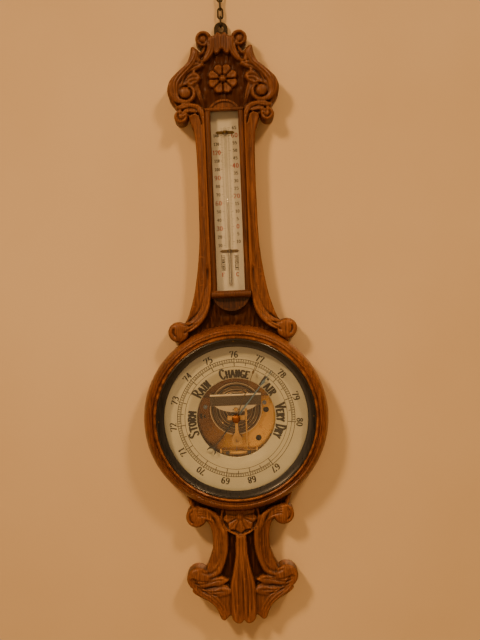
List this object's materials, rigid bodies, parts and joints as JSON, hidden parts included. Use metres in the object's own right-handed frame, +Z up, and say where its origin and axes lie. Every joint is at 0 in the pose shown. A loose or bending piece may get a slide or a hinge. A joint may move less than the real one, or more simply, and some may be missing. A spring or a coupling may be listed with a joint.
{
  "type": "aneroid barometer",
  "caption": "Carved oak wall barometer with a turned ring, open-centre porcelain dial, visible aneroid movement, glazed thermometer above and a hanging chain.",
  "frame": {"origin": "on the dial's axis, in the plane of the wall that the back face lies on", "axes": "+Z up along the board, +X to the viewer's right, -Y out of the wall towards the viewer"},
  "size_m": [0.254, 0.0532, 0.8907],
  "materials": {
    "carved_oak": "waxed",
    "turned_oak": "polished",
    "ebonised_wood": "french polished",
    "beech": "matt",
    "brass": "lacquered",
    "steel": "satin",
    "blued_steel": "polished",
    "nickel_silver": "satin",
    "dark_iron": "oiled",
    "tinplate": "satin",
    "mercury": "liquid",
    "clear_glass": "clear",
    "tube_glass": "clear",
    "opal_glass": "satin",
    "porcelain": "glazed",
    "black_card": "matt"
  },
  "bodies": {
    "case": {"backboard": "carved_oak", "dial_surround": "turned_oak", "surround_screws": "steel", "sight_ring": "ebonised_wood", "sight_ring_pins": "brass", "dial_glass": "clear_glass", "glass_bush": "brass", "dial_ring": "porcelain", "dial_spacer_ring": "black_card", "dial_backing_ring": "beech", "movement_housing": "tinplate", "housing_screws": "steel", "back_cover": "beech", "back_cover_screws": "steel", "frame_stile_left": "carved_oak", "frame_stile_right": "carved_oak", "frame_rail_top": "carved_oak", "frame_sill": "carved_oak", "frame_lunette": "carved_oak", "frame_apron": "carved_oak", "thermometer_glass": "clear_glass", "thermometer_plate": "opal_glass", "thermometer_tube": "tube_glass", "mercury_column": "mercury", "thermometer_clips": "brass", "clip_pins": "brass", "hanger_plate": "dark_iron", "hanger_screws": "dark_iron", "movement_plate": "brass", "plate_pillars": "brass", "plate_screws": "steel", "capsule_rear_diaphragm": "nickel_silver", "capsule_front_diaphragm": "nickel_silver", "capsule_post": "brass", "bridge": "brass", "bridge_screws": "blued_steel", "mainspring": "nickel_silver", "spring_clamp_screws": "steel", "knife_edge_pin": "steel", "rocker_frame": "brass", "rocker_frame_screws": "steel", "pivot_screws": "steel", "fusee_chain": "steel", "hairspring": "blued_steel", "arbor_cock_rear": "brass", "arbor_cock_front": "brass", "cock_pillars": "brass"},
    "set_hands": {"set_hand": "brass", "set_knob": "brass"},
    "hand": {"pointer": "blued_steel", "hand_arbor": "steel"},
    "lever": {"main_lever": "brass"},
    "link": {"lever_link": "brass"},
    "rocker": {"rocker_shaft": "brass"},
    "adjuster": {"adjusting_screw": "steel"},
    "chain_link_1": {"chain_link_1": "dark_iron"},
    "chain_link_2": {"chain_link_2": "dark_iron"},
    "chain_link_3": {"chain_link_3": "dark_iron"},
    "chain_link_4": {"chain_link_4": "dark_iron"},
    "hook": {"wall_hook": "dark_iron"}
  },
  "joints": [
    {"name": "pointer_turn", "type": "hinge", "parent": "case", "child": "hand", "pos_m": [0, -0.036, 0], "axis": [0, 1, 0], "range_deg": [-255.1, 56.9], "deforming": ["hairspring", "fusee_chain"]},
    {"name": "rocker_turn", "type": "hinge", "parent": "case", "child": "rocker", "pos_m": [0, -0.02, -0.046], "axis": [1, 0, 0], "range_deg": [-8, 35], "deforming": ["fusee_chain"]},
    {"name": "main_lever_tilt", "type": "hinge", "parent": "case", "child": "lever", "pos_m": [0.0136, -0.029, 0.031], "axis": [1, 0, 0], "range_deg": [-2.6, 0.7], "deforming": ["mainspring", "capsule_front_diaphragm", "capsule_post", "knife_edge_pin"]},
    {"name": "lever_link_swing", "type": "hinge", "parent": "lever", "child": "link", "pos_m": [0.0154, -0.029, -0.041], "axis": [1, 0, 0], "range_deg": [-3.5, 3.5]},
    {"name": "set_hand_turn", "type": "hinge", "parent": "case", "child": "set_hands", "pos_m": [0, -0.041, 0], "axis": [0, 1, 0], "continuous": true},
    {"name": "adjuster_turn", "type": "hinge", "parent": "case", "child": "adjuster", "pos_m": [0, -0.008, 0.0115], "axis": [0, 1, 0], "range_deg": [-180, 180]},
    {"name": "chain_swing_1", "type": "hinge", "parent": "case", "child": "chain_link_1", "pos_m": [0, -0.005, 0.54415], "axis": [0, 1, 0], "range_deg": [-30, 30]},
    {"name": "chain_swing_2", "type": "hinge", "parent": "chain_link_1", "child": "chain_link_2", "pos_m": [0, -0.005, 0.55605], "axis": [1, 0, 0], "range_deg": [-35, 35]},
    {"name": "chain_swing_3", "type": "hinge", "parent": "chain_link_2", "child": "chain_link_3", "pos_m": [0, -0.005, 0.56795], "axis": [0, 1, 0], "range_deg": [-35, 35]},
    {"name": "chain_swing_4", "type": "hinge", "parent": "chain_link_3", "child": "chain_link_4", "pos_m": [0, -0.005, 0.57985], "axis": [1, 0, 0], "range_deg": [-35, 35]},
    {"name": "hook_swing", "type": "hinge", "parent": "chain_link_4", "child": "hook", "pos_m": [0, -0.005, 0.5915], "axis": [0, 1, 0], "range_deg": [-25, 25]}
  ],
  "couplings": [
    {"joint": "rocker_turn", "follows": "pointer_turn", "ratio": -0.13235},
    {"joint": "main_lever_tilt", "follows": "pointer_turn", "ratio": 0.00864},
    {"joint": "lever_link_swing", "follows": "pointer_turn", "ratio": 0.0087}
  ]
}
